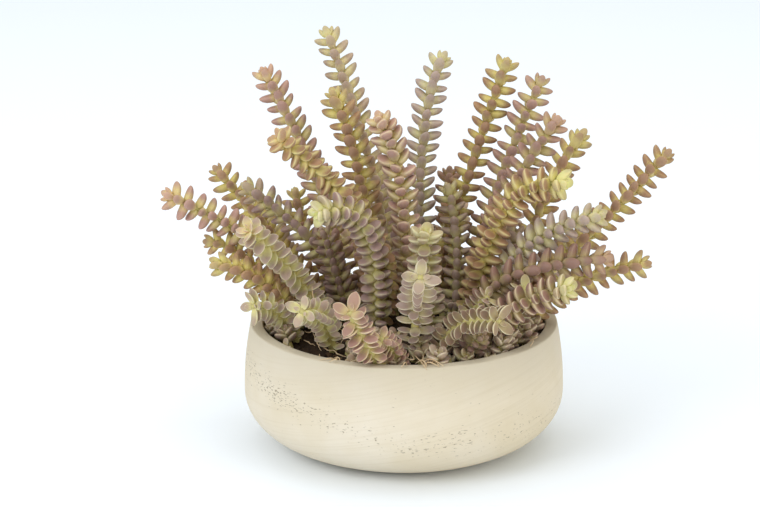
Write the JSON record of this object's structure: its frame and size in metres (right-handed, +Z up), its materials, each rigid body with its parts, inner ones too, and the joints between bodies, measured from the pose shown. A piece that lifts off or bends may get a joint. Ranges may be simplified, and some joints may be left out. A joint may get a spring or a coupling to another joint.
{
  "type": "succulent dish garden",
  "caption": "Trailing succulent stems with plump crossed leaf pairs, planted in a low round bowl of soil.",
  "frame": {"origin": "centre of the bowl's flat underside", "axes": "+Z up along the bowl's axis, -Y towards the front of the planting, +X to its right"},
  "size_m": [0.402, 0.2984, 0.316],
  "materials": {
    "bowl": "matt lime-washed cast stone",
    "soil": "crumbly potting soil",
    "leaf_gold": "waxy leaf, satin",
    "leaf_rose": "waxy leaf, satin",
    "leaf_lilac": "waxy leaf, satin",
    "leaf_mauve": "waxy leaf, satin",
    "leaf_sage": "waxy leaf, satin",
    "leaf_straw": "waxy leaf, satin"
  },
  "bodies": {
    "root": {"bowl": "bowl", "soil": "soil", "leafy_stem_01": "leaf_rose", "leafy_stem_02": "leaf_rose", "leafy_stem_03": "leaf_lilac", "leafy_stem_04": "leaf_straw", "leafy_stem_05": "leaf_mauve", "leafy_stem_06": "leaf_mauve", "leafy_stem_07": "leaf_sage", "leafy_stem_08": "leaf_sage", "leafy_stem_09": "leaf_sage", "leafy_stem_10": "leaf_mauve", "leafy_stem_11": "leaf_gold", "leafy_stem_12": "leaf_rose", "leafy_stem_13": "leaf_mauve", "leafy_stem_14": "leaf_sage", "leafy_stem_15": "leaf_gold", "leafy_stem_16": "leaf_gold", "leafy_stem_17": "leaf_rose", "leafy_stem_18": "leaf_mauve", "leafy_stem_19": "leaf_gold", "leafy_stem_20": "leaf_rose", "leafy_stem_21": "leaf_sage", "leafy_stem_22": "leaf_rose", "leafy_stem_23": "leaf_gold", "leafy_stem_24": "leaf_lilac", "leafy_stem_25": "leaf_gold", "leafy_stem_26": "leaf_gold", "leafy_stem_27": "leaf_sage", "leafy_stem_28": "leaf_rose", "leafy_stem_29": "leaf_gold", "leafy_stem_30": "leaf_straw", "leafy_stem_31": "leaf_lilac", "leafy_stem_32": "leaf_gold", "leafy_stem_33": "leaf_rose", "leafy_stem_34": "leaf_rose", "leafy_stem_35": "leaf_gold", "leafy_stem_36": "leaf_sage", "leafy_stem_37": "leaf_rose", "leafy_stem_38": "leaf_gold", "leafy_stem_39": "leaf_mauve", "leafy_stem_40": "leaf_lilac", "leafy_stem_41": "leaf_straw", "leafy_stem_42": "leaf_sage", "leafy_stem_43": "leaf_mauve", "leafy_stem_44": "leaf_rose"}
  },
  "joints": []
}
